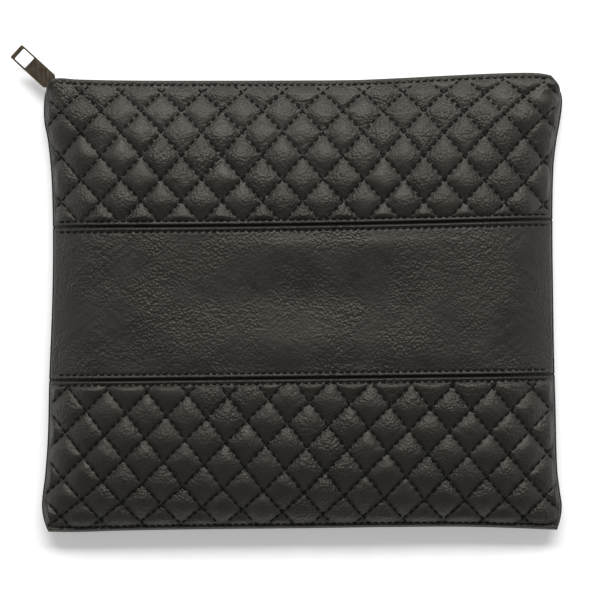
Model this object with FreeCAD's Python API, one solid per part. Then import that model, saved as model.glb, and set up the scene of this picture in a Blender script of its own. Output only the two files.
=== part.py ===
import FreeCAD, Part
import math
import os

# Flat zip-top pouch in quilted leather, lying on its back. Millimetres.
# +X runs along the mouth, +Y from the bottom seam towards the mouth, and +Z up out of the front wall.
# The origin is the middle of the flat underside that the pouch rests on.

os.makedirs("parts", exist_ok=True)
Vector = FreeCAD.Vector

# ---- the outline: half-widths at heights y, and edge heights at places x ----
LEFT_HALF_WIDTH = (
    (-112, 120.5), (-106, 123.4), (-97.5, 124.8), (-83, 123.3), (-65, 122.0), (-37, 121.3), (0, 119.9),
    (30, 119.5), (60, 120.2), (78, 121.9), (87, 123.6), (96, 123.8), (102, 122.9), (106, 120.8), (111, 116.5),
)
RIGHT_HALF_WIDTH = (
    (-112, 121.0), (-106, 123.6), (-98, 124.8), (-90, 123.8), (-80, 122.6), (-50, 121.8), (-25, 121.1),
    (0, 120.7), (40, 120.3), (65, 120.8), (78, 122.2), (88, 124.0), (97, 125.0), (102, 124.2), (106, 122.0),
    (111, 117.5),
)
TOP_EDGE = (
    (-125, 105.0), (-117, 107.8), (-108, 107.3), (-85, 106.8), (-50, 106.7), (0, 106.8), (25, 107.0),
    (45, 107.8), (70, 109.1), (95, 110.2), (112, 110.4), (121, 109.0), (125, 107.0),
)
BOTTOM_EDGE = (
    (-125, -110.0), (-108, -110.2), (-85, -109.5), (-50, -108.9), (0, -108.4), (45, -107.8), (80, -107.7),
    (108, -108.5), (125, -109.2),
)

MEAN_HALF_WIDTH = 122.0
BAND_HALF_WIDTH = 120.2  # the back's centre band, whose ends are straight

# ---- the walls ----
SEAM_Z = 8.0  # height of the plane where the front and back walls meet
EDGE_RISE = 1.4  # each wall's outer face above or below that plane at a sewn edge
CORNER_RISE = 6.2  # the same at the mouth's corners, which the puller comes out of
SEWN_TOP = 99.0  # the side seams end here
OPEN_FROM = 105.5  # and from here the edges stand fully apart
HALF_LENGTH_UP = 107.0
HALF_LENGTH_DOWN = 109.0
FRONT_CROWN = (
    (-109, 1.4), (-107.3, 3.6), (-104.5, 6.4), (-100, 9.5), (-94, 12.2), (-85, 14.8), (-73, 16.7),
    (-58, 17.7), (-36, 18.3), (0, 18.8), (38, 18.6), (52, 18.2), (64, 17.3), (76, 15.6), (88, 12.7),
    (98, 9.6), (107, 6.6),
)
BACK_FLAT_SHARE = 0.78  # share of the half-width that lies flat on the floor
BACK_FLAT_DOWN = 84.0
BACK_FLAT_UP = 70.0
BACK_MOUTH_Z = 0.9
SIDE_DOME = 0.15
SIDE_POWER = (9.0, 22.0)  # how suddenly the front wall falls to its sides, along the body and at the zip's ends
BACK_SIDE_POWER = (4.0, 8.0)
BACK_END_POWER = 4.0
ZIP_END_ZONE = (78.0, 94.0)  # heights between which the walls stiffen round the zip's ends

LEATHER = 1.2
LAYER_GAP = 0.2
WADDING_GAP = 0.35  # between the wadding and the leather, whose puffs are drawn on grids of their own
LINING_GAP = 0.35
QUILT_PUFF = 2.0
WADDING_AT_STITCH = 0.8
INTERLINING = 0.4
LINING = 0.4
PANEL_GAP = 1.3  # the dark gap between the two rolled edges of a panel seam
QUILT_FADE = 6.0
WADDING_INSET = 6.0
WADDING_SEAM_INSET = 2.5
WADDING_MOUTH_INSET = 15.0
BACK_BORDER_FADE = 14.0  # the back's quilting fades out over this distance from its sides and bottom
BACK_MOUTH_FADE = 24.0  # and over this one from its mouth
LINING_SIDE_RISE = (0.8, 4.0)  # the lining's side edges from the seam plane: where sewn, and beside the zip
LINING_ZIP_ZONE = (84.0, 92.0)
LINING_INSET = 7.0
INTERLINING_INSET = 7.5
MOUTH_INSET = 1.5  # the interlinings and the tapes end this far below the mouth's edge
PAD_END = (89.0, 96.0)  # the wadding's thickness runs out between these heights

ALLOWANCE_REACH = (1.5, 5.5)  # the turned-in seam edges lie this far inside the outline
ALLOWANCE_THICK = 1.0
ALLOWANCE_TOP = 0.6  # above the seam plane
SIDE_SEAM_ENDS = (-104.0, 94.0)  # the side seams' heights, up to just under the zip
BOTTOM_SEAM_HALF_LENGTH = 112.0

# ---- the two panel seams, and the quilting ----
UPPER_SEAM = (39.0, 0.0155)  # height at the middle, and slope
LOWER_SEAM = (-35.7, 0.012)
QUILT_PITCH = 19.3
UPPER_ROWS = ((38.0, -1), (48.5, 0), (59.0, 1), (70.1, 2), (81.4, 3), (91.7, 4), (100.8, 5), (109.0, 6))
UPPER_QUILT_X = 0.7
LOWER_ROWS = (
    (-80.3, 8), (-71.4, 7), (-62.5, 6), (-53.6, 5), (-44.0, 4), (-33.0, 3), (-21.9, 2), (-10.9, 1), (0, 0), (11, -1),
    (22, -2),
)
LOWER_QUILT_ORIGIN = (3.9, -47.0)
LOWER_QUILT_TURN = math.radians(-3.4)

# ---- the zip: it runs along X, and its chain lies in the plane y = ZIP_Y ----
ZIP_Y = 96.4
TAPE = 0.5
TAPE_START = 1.1  # the tape's inner edge, from the chain's middle
TAPE_LEFT = -119.6
TAPE_RIGHT = 119.8
TAPE_BEND = 2.0  # the radius of the turn, smaller at the zip's ends, where the walls come close to the slider
TAPE_LEAST_BEND = 0.4
TAPE_CLEAR = 0.35  # the tape stays flat this far past the slider's sides
TOOTH_PITCH = 2.5
TOOTH_WIDTH = 1.15
TOOTH_HALF_HEIGHT = 1.1
TOOTH_REACH = 0.8  # how far a tooth passes the chain's middle
TOOTH_TAIL = 2.0
TOOTH_SLOT = 0.35  # half the slot that grips the tape
TOOTH_BITE = 0.15  # the slot is this much deeper than the tape goes in
TOOTH_BEVEL = 0.3
HEAD_LENGTH = 0.5  # the head's slope, and its end's share of the tooth's height
HEAD_SHARE = 0.7
TEETH_LEFT = -114.0
TEETH_RIGHT = 116.5
STOP_LENGTH = 1.3
STOP_TAIL = 1.6
STOP_GAP = 0.2
TOP_STOP_START = 0.3  # the top stops' inner ends, from the chain's middle

# ---- the slider at the closed end, its bail, the link and the puller ----
SLIDER_X = -113.3
SLIDER_TRAVEL = 226.6
SLIDER_HALF_LENGTH = 4.6
SLIDER_HALF_WIDTH = 3.1
SLIDER_OUTLINE = (  # half-widths from the nose to the tail
    (-SLIDER_HALF_LENGTH, 2.2), (-3.8, SLIDER_HALF_WIDTH), (0.6, SLIDER_HALF_WIDTH), (3.0, 2.8),
    (SLIDER_HALF_LENGTH, 2.4),
)
SLIDER_ROUND = 0.3
SLIDER_PLATE = 0.9
SLIDER_CHANNEL = 1.3  # half the channel's height
SLIDER_WALL = 0.75
SLIDER_SLOT = 0.45
POST_START = 0.4  # the post that parts the teeth, from the slider's nose
POST_HALF_WIDTH = 0.9
POST_BLUNT = 1.4  # its length before it tapers
POST_LENGTH = 3.0
BAR_RADIUS = 0.7
BAR_LIFT = 0.95  # the link's bar above the slider's top plate
BAIL_HALF_LENGTH = 2.9
BAIL_THICK = 1.0
BAIL_HALF_WIDTH = 1.0
BAIL_ROUND = 1.1
BAR_PLAY = 0.2  # between the link's bar and the bail's arch
LINK_LENGTH = 7.0
LINK_HALF_WIDTH = 2.1
LINK_BEND = 1.2
PULL_ANGLE = math.radians(137.6)
PLATE_WIDTH = 8.3
PLATE_THICK = 2.0
PLATE_BODY = 22.7  # from the shoulder to the free end
PLATE_NECK = 2.6  # from the eye's centre to the shoulder
NECK_SIDE = 2.5  # half the neck's width where the shoulder starts
SHOULDER = (-1.0, 1.2)  # the shoulder's slope starts and ends this far along from it
EYE_RADIUS = 2.3
EYE_HOLE = 0.95
WINDOW_LENGTH = 6.9
WINDOW_WIDTH = 6.6
WINDOW_CORNER = 0.5
END_BAR = 2.0
PLATE_CORNER = 0.9
PLATE_BEVEL = 0.35

# ---- how finely the faces are drawn ----
FINE = 2.4
MEDIUM = 3.0
COARSE = 6.0
TAPE_COLUMNS = 120
TAPE_ROWS = 14
SEAM_COLUMNS = 40
SEAM_ROWS = 3
NEAR = 0.01  # lengths under this are taken as none when edges are picked


# ---- helpers ----
def save(shape, name):
    shape.exportStep("parts/" + name + ".step")


def through(stations, at):
    """A smooth curve through hand-set stations (Catmull-Rom), flat-ended outside them."""
    if at <= stations[0][0]:
        return float(stations[0][1])
    if at >= stations[-1][0]:
        return float(stations[-1][1])
    i = 0
    while stations[i + 1][0] < at:
        i += 1
    before = stations[max(i - 1, 0)]
    a = stations[i]
    b = stations[i + 1]
    after = stations[min(i + 2, len(stations) - 1)]
    span = b[0] - a[0]
    slope_a = (b[1] - before[1]) / (b[0] - before[0])
    slope_b = (after[1] - a[1]) / (after[0] - a[0])
    t = (at - a[0]) / span
    return (
        (2 * t**3 - 3 * t**2 + 1) * a[1]
        + (t**3 - 2 * t**2 + t) * span * slope_a
        + (3 * t**2 - 2 * t**3) * b[1]
        + (t**3 - t**2) * span * slope_b
    )


def smoothstep(low, high, at):
    t = min(max((at - low) / (high - low), 0.0), 1.0)
    return t * t * (3 - 2 * t)


def lerp(a, b, t):
    return a + (b - a) * t


def steps(count):
    return [i / count for i in range(count + 1)]


def knots(count, degree):
    """Evenly spaced clamped knots for a row of poles, and how often each repeats."""
    spans = count - degree
    return [i / spans for i in range(spans + 1)], [degree + 1] + [1] * (spans - 1) + [degree + 1]


def surface(poles):
    """A smooth face drawn by a grid of poles, which lie within a hair of it."""
    degrees = [min(3, len(poles) - 1), min(3, len(poles[0]) - 1)]
    knots_u, repeats_u = knots(len(poles), degrees[0])
    knots_v, repeats_v = knots(len(poles[0]), degrees[1])
    face = Part.BSplineSurface()
    face.buildFromPolesMultsKnots(poles, repeats_u, repeats_v, knots_u, knots_v, False, False, *degrees)
    return face.toShape()


def closed_sheet(outer, inner):
    """A closed solid between two grids of points with the same layout."""
    borders = (
        lambda grid: grid[0],
        lambda grid: grid[-1],
        lambda grid: [row[0] for row in grid],
        lambda grid: [row[-1] for row in grid],
    )
    faces = [surface(outer), surface(inner)]
    faces += [surface([border(outer), border(inner)]) for border in borders]
    shell = Part.makeShell(faces)
    shell.sewShape()
    solid = Part.Solid(shell)
    if solid.Volume < 0:
        solid.reverse()
    return solid


def spread_evenly(path, count):
    """The same path of (y, z) places, as a row of evenly spaced ones."""
    reach = [0.0]
    for a, b in zip(path, path[1:]):
        reach.append(reach[-1] + math.dist(a, b))
    places = []
    for t in steps(count):
        at = t * reach[-1]
        i = 0
        while i < len(path) - 2 and reach[i + 1] < at:
            i += 1
        share = (at - reach[i]) / (reach[i + 1] - reach[i])
        places.append((lerp(path[i][0], path[i + 1][0], share), lerp(path[i][1], path[i + 1][1], share)))
    return places


# ---- outline and heights ----
def half_width(x, y):
    return through(LEFT_HALF_WIDTH if x < 0 else RIGHT_HALF_WIDTH, y)


def top_edge(x):
    return through(TOP_EDGE, x)


def bottom_edge(x):
    return through(BOTTOM_EDGE, x)


def upper_seam(x):
    return UPPER_SEAM[0] + UPPER_SEAM[1] * x


def lower_seam(x):
    return LOWER_SEAM[0] + LOWER_SEAM[1] * x


def length_share(x, y):
    """y as it would be if both ends of the pouch were straight."""
    if y < 0:
        return y * HALF_LENGTH_DOWN / -bottom_edge(x)
    return y * HALF_LENGTH_UP / top_edge(x)


def zip_end_share(y):
    return smoothstep(*ZIP_END_ZONE, y)


def side_profile(u, y=0.0):
    """1 in the middle and 0 at the sides."""
    u = min(abs(u), 1.0)
    return 1 - SIDE_DOME * u**2 - (1 - SIDE_DOME) * u ** lerp(*SIDE_POWER, zip_end_share(y))


def edge_rise(y):
    return lerp(EDGE_RISE, CORNER_RISE, smoothstep(SEWN_TOP, OPEN_FROM, y))


def front_smooth(x, y):
    """The front wall's face along its stitch lines."""
    rise = edge_rise(y)
    crown = through(FRONT_CROWN, length_share(x, y))
    return SEAM_Z + rise + (crown - rise) * side_profile(x / half_width(x, y), y)


def back_smooth(x, y):
    """The back wall's outer face: flat on the floor, turning up to its edges."""
    u = abs(x) / half_width(x, y)
    across = max((u - BACK_FLAT_SHARE) / (1 - BACK_FLAT_SHARE), 0.0) ** lerp(*BACK_SIDE_POWER, zip_end_share(y))
    share = length_share(x, y)
    if share < 0:
        along = max((-share - BACK_FLAT_DOWN) / (HALF_LENGTH_DOWN - BACK_FLAT_DOWN), 0.0) ** BACK_END_POWER
        mouth = 0.0
    else:
        along = 0.0
        mouth = BACK_MOUTH_Z * max((share - BACK_FLAT_UP) / (HALF_LENGTH_UP - BACK_FLAT_UP), 0.0) ** 2
    height = SEAM_Z - edge_rise(y)
    return max(height * (1 - (1 - across) * (1 - min(along, 1.0))), mouth * (1 - across) + height * across)


def edge_fade(x, y, sign):
    """0 on a panel's border and 1 from the quilting's margin inwards."""
    seam = min(abs(y - upper_seam(x)), abs(y - lower_seam(x))) - PANEL_GAP / 2
    side = half_width(x, y) - abs(x)
    mouth = top_edge(x) - y
    bottom = y - bottom_edge(x)
    if lower_seam(x) < y < upper_seam(x):
        return 0.0
    border = QUILT_FADE if sign > 0 else BACK_BORDER_FADE
    fade = smoothstep(0.0, QUILT_FADE if sign > 0 else BACK_MOUTH_FADE, mouth)
    fade *= smoothstep(0.0, QUILT_FADE, seam)
    return fade * smoothstep(0.0, border, side) * smoothstep(0.0, border, bottom)


def border_fade(x, y):
    """0 on the back wall's border and 1 from the quilting's margin inwards, over the panel seams too."""
    fade = smoothstep(0.0, BACK_MOUTH_FADE, top_edge(x) - y)
    for distance in (half_width(x, y) - abs(x), y - bottom_edge(x)):
        fade *= smoothstep(0.0, BACK_BORDER_FADE, distance)
    return fade


def quilt_puff(x, y):
    """0 on the stitch lines and 1 at the middle of each diamond."""
    if y > 0:
        along = (x - UPPER_QUILT_X) / QUILT_PITCH
        row = through(UPPER_ROWS, y)
    else:
        dx = x - LOWER_QUILT_ORIGIN[0]
        dy = y - LOWER_QUILT_ORIGIN[1]
        turned_x = dx * math.cos(LOWER_QUILT_TURN) + dy * math.sin(LOWER_QUILT_TURN)
        turned_y = dy * math.cos(LOWER_QUILT_TURN) - dx * math.sin(LOWER_QUILT_TURN)
        along = turned_x / QUILT_PITCH
        row = through(LOWER_ROWS, turned_y)
    bulge = math.sin(math.pi * (along + row / 2)) ** 2 * math.sin(math.pi * (along - row / 2)) ** 2
    return bulge * (2 - bulge)


class Wall:
    """One wall's faces. sign is 1 for the front wall, whose outside is up, and -1 for the back wall."""

    def __init__(self, sign):
        self.sign = sign

    def stitched(self, x, y):
        if self.sign > 0:
            return front_smooth(x, y)
        return back_smooth(x, y) + QUILT_PUFF * edge_fade(x, y, self.sign)

    def outer(self, x, y):
        puff = QUILT_PUFF * quilt_puff(self.sign * x, y) * edge_fade(x, y, self.sign)
        return self.stitched(x, y) + self.sign * puff

    def pad_depth(self, y):
        return lerp(WADDING_AT_STITCH, 0.0, smoothstep(*PAD_END, y)) + LAYER_GAP

    def inner(self, x, y):
        """Where the interlining's outer face lies."""
        band = 0.0
        if self.sign < 0:
            band = QUILT_PUFF * max(border_fade(x, y) - edge_fade(x, y, self.sign), 0.0)
        return self.stitched(x, y) + band - self.sign * (LEATHER + self.pad_depth(y))

    def lining(self, x, y):
        """The lining's outer face, which runs down to the seam plane round its own edge."""
        deep = self.inner(x, y) - self.sign * (INTERLINING + LINING_GAP)
        start = SEAM_Z + self.sign * lerp(*LINING_SIDE_RISE, smoothstep(*LINING_ZIP_ZONE, y))
        u = abs(x) / (half_width(x, y) - LINING_INSET)
        down = -min(y, 0.0) / (-bottom_edge(x) - LINING_INSET)
        return start + (deep - start) * side_profile(u) * side_profile(down)


def grid(low, high, side_inset, spacing, height):
    """Points over the outline between two curves low(x) and high(x), at height(x, y)."""
    columns = round(2 * MEAN_HALF_WIDTH / spacing)
    rows = round((high(0) - low(0)) / spacing)
    points = []
    for s in steps(columns):
        line = []
        for t in steps(rows):
            x = lerp(-MEAN_HALF_WIDTH, MEAN_HALF_WIDTH, s)
            for _ in range(4):  # x and y depend on each other a little, and settle in a few rounds
                y = lerp(low(x), high(x), t)
                left = -(half_width(-1, y) - side_inset)
                x = lerp(left, half_width(1, y) - side_inset, s)
            line.append(Vector(x, y, height(x, y)))
        points.append(line)
    return points


def moved(points, dz):
    return [[p + Vector(0, 0, dz) for p in line] for line in points]


PANELS = {
    "upper": (lambda x: upper_seam(x) + PANEL_GAP / 2, top_edge),
    "lower": (bottom_edge, lambda x: lower_seam(x) - PANEL_GAP / 2),
}
BAND = (lambda x: lower_seam(x) + PANEL_GAP / 2, lambda x: upper_seam(x) - PANEL_GAP / 2)


def quilted_panel(wall, which):
    low, high = PANELS[which]
    points = grid(low, high, 0.0, FINE, wall.outer)
    return closed_sheet(points, moved(points, -wall.sign * LEATHER))


def centre_band_front(wall):
    low, high = BAND
    points = grid(low, high, 0.0, COARSE, wall.stitched)
    return closed_sheet(points, moved(points, -LEATHER))


def centre_band_back():
    """A strip with a truly flat underside, whose ends turn up in the same curve as its neighbours'."""
    flat = BAND_HALF_WIDTH * BACK_FLAT_SHARE
    rise = SEAM_Z - EDGE_RISE
    y = 2 * LOWER_SEAM[0]

    def end_curve(sign, z):
        curve = Part.BezierCurve()
        poles = [Vector(sign * lerp(flat, BAND_HALF_WIDTH, t), y, z) for t in steps(4)]
        poles[-1].z += rise
        curve.setPoles(poles)
        return curve.toShape()

    def profile(z):
        line = Part.makeLine(Vector(-flat, y, z), Vector(flat, y, z))
        return [end_curve(-1, z), line, end_curve(1, z)]

    edges = profile(0) + profile(LEATHER)
    for x in (-BAND_HALF_WIDTH, BAND_HALF_WIDTH):
        edges.append(Part.makeLine(Vector(x, y, rise), Vector(x, y, rise + LEATHER)))
    wire = Part.Wire(Part.__sortEdges__(edges))
    strip = Part.Face(wire).extrude(Vector(0, -2 * y, 0))
    far = 2 * BAND_HALF_WIDTH
    low, high = BAND
    places = ((-far, low(-far)), (far, low(far)), (far, high(far)), (-far, high(-far)))
    corners = [Vector(x, edge_y, -SEAM_Z) for x, edge_y in places]
    corners.append(corners[0])
    cutter = Part.Face(Part.makePolygon(corners)).extrude(Vector(0, 0, 3 * SEAM_Z))
    return strip.common(cutter).Solids[0]


def wadding(wall, which):
    low, high = PANELS[which]
    if which == "upper":
        ends = (WADDING_SEAM_INSET, WADDING_MOUTH_INSET)
    else:
        ends = (WADDING_INSET, WADDING_SEAM_INSET)

    def outer(x, y):
        return wall.outer(x, y) - wall.sign * (LEATHER + WADDING_GAP)

    def inner(x, y):
        return wall.inner(x, y) + wall.sign * LAYER_GAP

    area = (lambda x: low(x) + ends[0], lambda x: high(x) - ends[1], WADDING_INSET, FINE)
    return closed_sheet(grid(*area, outer), grid(*area, inner))


def interlining(wall):
    def low(x):
        return bottom_edge(x) + INTERLINING_INSET

    def high(x):
        return top_edge(x) - MOUTH_INSET

    points = grid(low, high, INTERLINING_INSET, MEDIUM, wall.inner)
    return closed_sheet(points, moved(points, -wall.sign * INTERLINING))


def lining(wall):
    def low(x):
        return bottom_edge(x) + LINING_INSET

    points = grid(low, lambda x: ZIP_Y - TAPE, LINING_INSET, MEDIUM, wall.lining)
    return closed_sheet(points, moved(points, -wall.sign * LINING))


def tape_path(wall, x):
    """A tape's middle line at x as (y, z out from the seam plane): flat, then turned up along the wall."""
    depth = LAYER_GAP + INTERLINING + TAPE / 2

    def reach(y):
        return abs(wall.inner(x, y) - wall.sign * depth - SEAM_Z)

    full = reach(ZIP_Y + TAPE_BEND)
    bend = max(min(TAPE_BEND, full - SLIDER_HALF_WIDTH - TAPE_CLEAR), TAPE_LEAST_BEND)
    path = [(ZIP_Y, TAPE_START)]
    for share in (0.0, 0.3, 0.6):
        angle = share * math.pi / 2
        path.append((ZIP_Y + bend * (1 - math.cos(angle)), full - bend + bend * math.sin(angle)))
    for t in steps(3):
        y = lerp(ZIP_Y + bend, top_edge(x) - MOUTH_INSET, t)
        path.append((y, reach(y)))
    return spread_evenly(path, TAPE_ROWS)


def tape(wall):
    """A zip tape, as two faces half its thickness to each side of its middle line."""
    outer = []
    inner = []
    for s in steps(TAPE_COLUMNS):
        x = lerp(TAPE_LEFT, TAPE_RIGHT, s)
        path = tape_path(wall, x)
        line_out = []
        line_in = []
        for i, (y, z) in enumerate(path):
            ahead = path[min(i + 1, TAPE_ROWS)]
            behind = path[max(i - 1, 0)]
            size = math.dist(ahead, behind)
            normal_y = (ahead[1] - behind[1]) / size * TAPE / 2
            normal_z = (ahead[0] - behind[0]) / size * TAPE / 2
            line_out.append(Vector(x, y - normal_y, SEAM_Z + wall.sign * (z + normal_z)))
            line_in.append(Vector(x, y + normal_y, SEAM_Z + wall.sign * (z - normal_z)))
        outer.append(line_out)
        inner.append(line_in)
    return closed_sheet(outer, inner)


def tooth(x, sign, head=-TOOTH_REACH, tail=TOOTH_TAIL, width=TOOTH_WIDTH):
    """One metal tooth, from its head to its tail: past the slot's end, two legs grip the tape."""
    slot_end = TAPE_START - TOOTH_BITE
    half = (
        (head, TOOTH_HALF_HEIGHT * HEAD_SHARE), (head + HEAD_LENGTH, TOOTH_HALF_HEIGHT),
        (tail - TOOTH_BEVEL, TOOTH_HALF_HEIGHT), (tail, TOOTH_HALF_HEIGHT - TOOTH_BEVEL), (tail, TOOTH_SLOT),
        (slot_end, TOOTH_SLOT),
    )
    profile = list(half) + [(out, -up) for out, up in reversed(half)]
    corners = [Vector(x - width / 2, ZIP_Y + up, SEAM_Z + sign * out) for out, up in profile]
    corners.append(corners[0])
    return Part.Face(Part.makePolygon(corners)).extrude(Vector(width, 0, 0))


def teeth(sign):
    """One row of teeth. The back's row is half a pitch along from the front's, so that they mesh."""
    start = TEETH_LEFT if sign > 0 else TEETH_LEFT + TOOTH_PITCH / 2
    count = int((TEETH_RIGHT - start) / TOOTH_PITCH) + 1
    return Part.makeCompound([tooth(start + i * TOOTH_PITCH, sign) for i in range(count)])


def top_stop(sign):
    """A small metal stop on one tape, past the closed slider's nose."""
    x = SLIDER_X - SLIDER_HALF_LENGTH - STOP_GAP - STOP_LENGTH / 2
    return tooth(x, sign, TOP_STOP_START, STOP_TAIL, STOP_LENGTH)


def bottom_stop():
    """A box of metal that holds both tapes together at the open end."""
    x = SLIDER_X + SLIDER_TRAVEL + SLIDER_HALF_LENGTH + STOP_GAP
    corner = Vector(x, ZIP_Y - TOOTH_HALF_HEIGHT, SEAM_Z - STOP_TAIL)
    box = Part.makeBox(STOP_LENGTH, 2 * TOOTH_HALF_HEIGHT, 2 * STOP_TAIL, corner)
    slot_end = TAPE_START - TOOTH_BITE
    for low in (SEAM_Z - STOP_TAIL, SEAM_Z + slot_end):
        corner = Vector(x, ZIP_Y - TOOTH_SLOT, low)
        box = box.cut(Part.makeBox(STOP_LENGTH, 2 * TOOTH_SLOT, STOP_TAIL - slot_end, corner))
    return box


def seam_allowance(ends, place):
    """The turned-in edges of both walls, sewn together: place(along, inwards) runs round the outline."""
    outer = []
    for s in steps(SEAM_COLUMNS):
        along = lerp(*ends, s)
        outer.append([place(along, lerp(*ALLOWANCE_REACH, t)) for t in steps(SEAM_ROWS)])
    return closed_sheet(outer, moved(outer, -ALLOWANCE_THICK))


def side_allowance(sign):
    def place(y, inwards):
        return Vector(sign * (half_width(sign, y) - inwards), y, SEAM_Z + ALLOWANCE_TOP)

    return seam_allowance(SIDE_SEAM_ENDS, place)


def bottom_allowance():
    def place(x, inwards):
        return Vector(x, bottom_edge(x) + inwards, SEAM_Z + ALLOWANCE_TOP)

    return seam_allowance((-BOTTOM_SEAM_HALF_LENGTH, BOTTOM_SEAM_HALF_LENGTH), place)


# ---- the slider, drawn with its length along X, width along Z and height along Y ----
def slider_body():
    low = ZIP_Y - SLIDER_CHANNEL - SLIDER_PLATE
    height = 2 * (SLIDER_CHANNEL + SLIDER_PLATE)
    nose = SLIDER_X - SLIDER_HALF_LENGTH
    length = 2 * SLIDER_HALF_LENGTH
    outline = [(x, z) for x, z in SLIDER_OUTLINE] + [(x, -z) for x, z in reversed(SLIDER_OUTLINE)]
    corners = [Vector(SLIDER_X + x, low, SEAM_Z + z) for x, z in outline]
    corners.append(corners[0])
    block = Part.Face(Part.makePolygon(corners)).extrude(Vector(0, height, 0))
    across = [e for e in block.Edges if abs(e.Vertexes[0].Y - e.Vertexes[1].Y) < NEAR]
    block = block.makeFillet(SLIDER_ROUND, across)
    inside = SLIDER_HALF_WIDTH - SLIDER_WALL
    corner = Vector(nose, ZIP_Y - SLIDER_CHANNEL, SEAM_Z - inside)
    channel = Part.makeBox(length, 2 * SLIDER_CHANNEL, 2 * inside, corner)
    corner = Vector(nose, ZIP_Y - SLIDER_SLOT, SEAM_Z - 2 * SLIDER_HALF_WIDTH)
    slot = Part.makeBox(length, 2 * SLIDER_SLOT, 4 * SLIDER_HALF_WIDTH, corner)
    start = nose + POST_START
    post_outline = (
        (start, -POST_HALF_WIDTH), (start, POST_HALF_WIDTH), (start + POST_BLUNT, POST_HALF_WIDTH),
        (start + POST_LENGTH, 0.0), (start + POST_BLUNT, -POST_HALF_WIDTH), (start, -POST_HALF_WIDTH),
    )
    post_corners = [Vector(x, low + SLIDER_PLATE / 2, SEAM_Z + z) for x, z in post_outline]
    post = Part.Face(Part.makePolygon(post_corners)).extrude(Vector(0, height - SLIDER_PLATE, 0))
    return block.cut(channel).cut(slot).fuse(post).removeSplitter()


TOP_PLATE_Y = ZIP_Y + SLIDER_CHANNEL + SLIDER_PLATE
BAR_Y = TOP_PLATE_Y + BAR_LIFT


def slider_bail():
    """The arch on the slider's top plate that holds the link's bar."""
    under = BAR_Y + BAR_RADIUS + BAR_PLAY
    low = SEAM_Z - BAIL_HALF_WIDTH
    corner = Vector(SLIDER_X - BAIL_HALF_LENGTH, TOP_PLATE_Y, low)
    arch = Part.makeBox(2 * BAIL_HALF_LENGTH, under + BAIL_THICK - TOP_PLATE_Y, 2 * BAIL_HALF_WIDTH, corner)
    top = []
    for edge in arch.Edges:
        box = edge.BoundBox
        if box.XLength < NEAR and box.YLength < NEAR and box.YMin > TOP_PLATE_Y + NEAR:
            top.append(edge)
    arch = arch.makeFillet(BAIL_ROUND, top)
    inner = BAIL_HALF_LENGTH - BAIL_THICK
    corner = Vector(SLIDER_X - inner, TOP_PLATE_Y, low)
    return arch.cut(Part.makeBox(2 * inner, under - TOP_PLATE_Y, 2 * BAIL_HALF_WIDTH, corner))


def along_pull(distance, side, z):
    """A point at a distance along the puller's line from the bail's bar, and to its left."""
    x = SLIDER_X + distance * math.cos(PULL_ANGLE) - side * math.sin(PULL_ANGLE)
    y = BAR_Y + distance * math.sin(PULL_ANGLE) + side * math.cos(PULL_ANGLE)
    return Vector(x, y, z)


def pull_link():
    """A rectangular ring of round wire, its two short bars along Z."""
    corners = ((0, -1), (0, 1), (LINK_LENGTH, 1), (LINK_LENGTH, -1))
    points = [along_pull(distance, 0, SEAM_Z + side * LINK_HALF_WIDTH) for distance, side in corners]
    arcs = []
    for i, here in enumerate(points):
        start = here + (points[i - 1] - here).normalize() * LINK_BEND
        end = here + (points[(i + 1) % 4] - here).normalize() * LINK_BEND
        centre = start + end - here
        arcs.append((start, centre + (here - centre).normalize() * LINK_BEND, end))
    middle = along_pull(0, 0, SEAM_Z)
    edges = [Part.makeLine(middle, arcs[1][0])]
    for i in (1, 2, 3, 0):
        edges.append(Part.Arc(*arcs[i]).toShape())
        end = middle if i == 0 else arcs[(i + 1) % 4][0]
        edges.append(Part.makeLine(arcs[i][2], end))
    section = Part.Wire(Part.makeCircle(BAR_RADIUS, middle, Vector(0, 0, 1)))
    return Part.Wire(edges).makePipeShell([section], True, False)


def prism(points, low, thick):
    corners = [Vector(p.x, p.y, low) for p in list(points) + [points[0]]]
    return Part.Face(Part.makePolygon(corners)).extrude(Vector(0, 0, thick))


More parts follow.
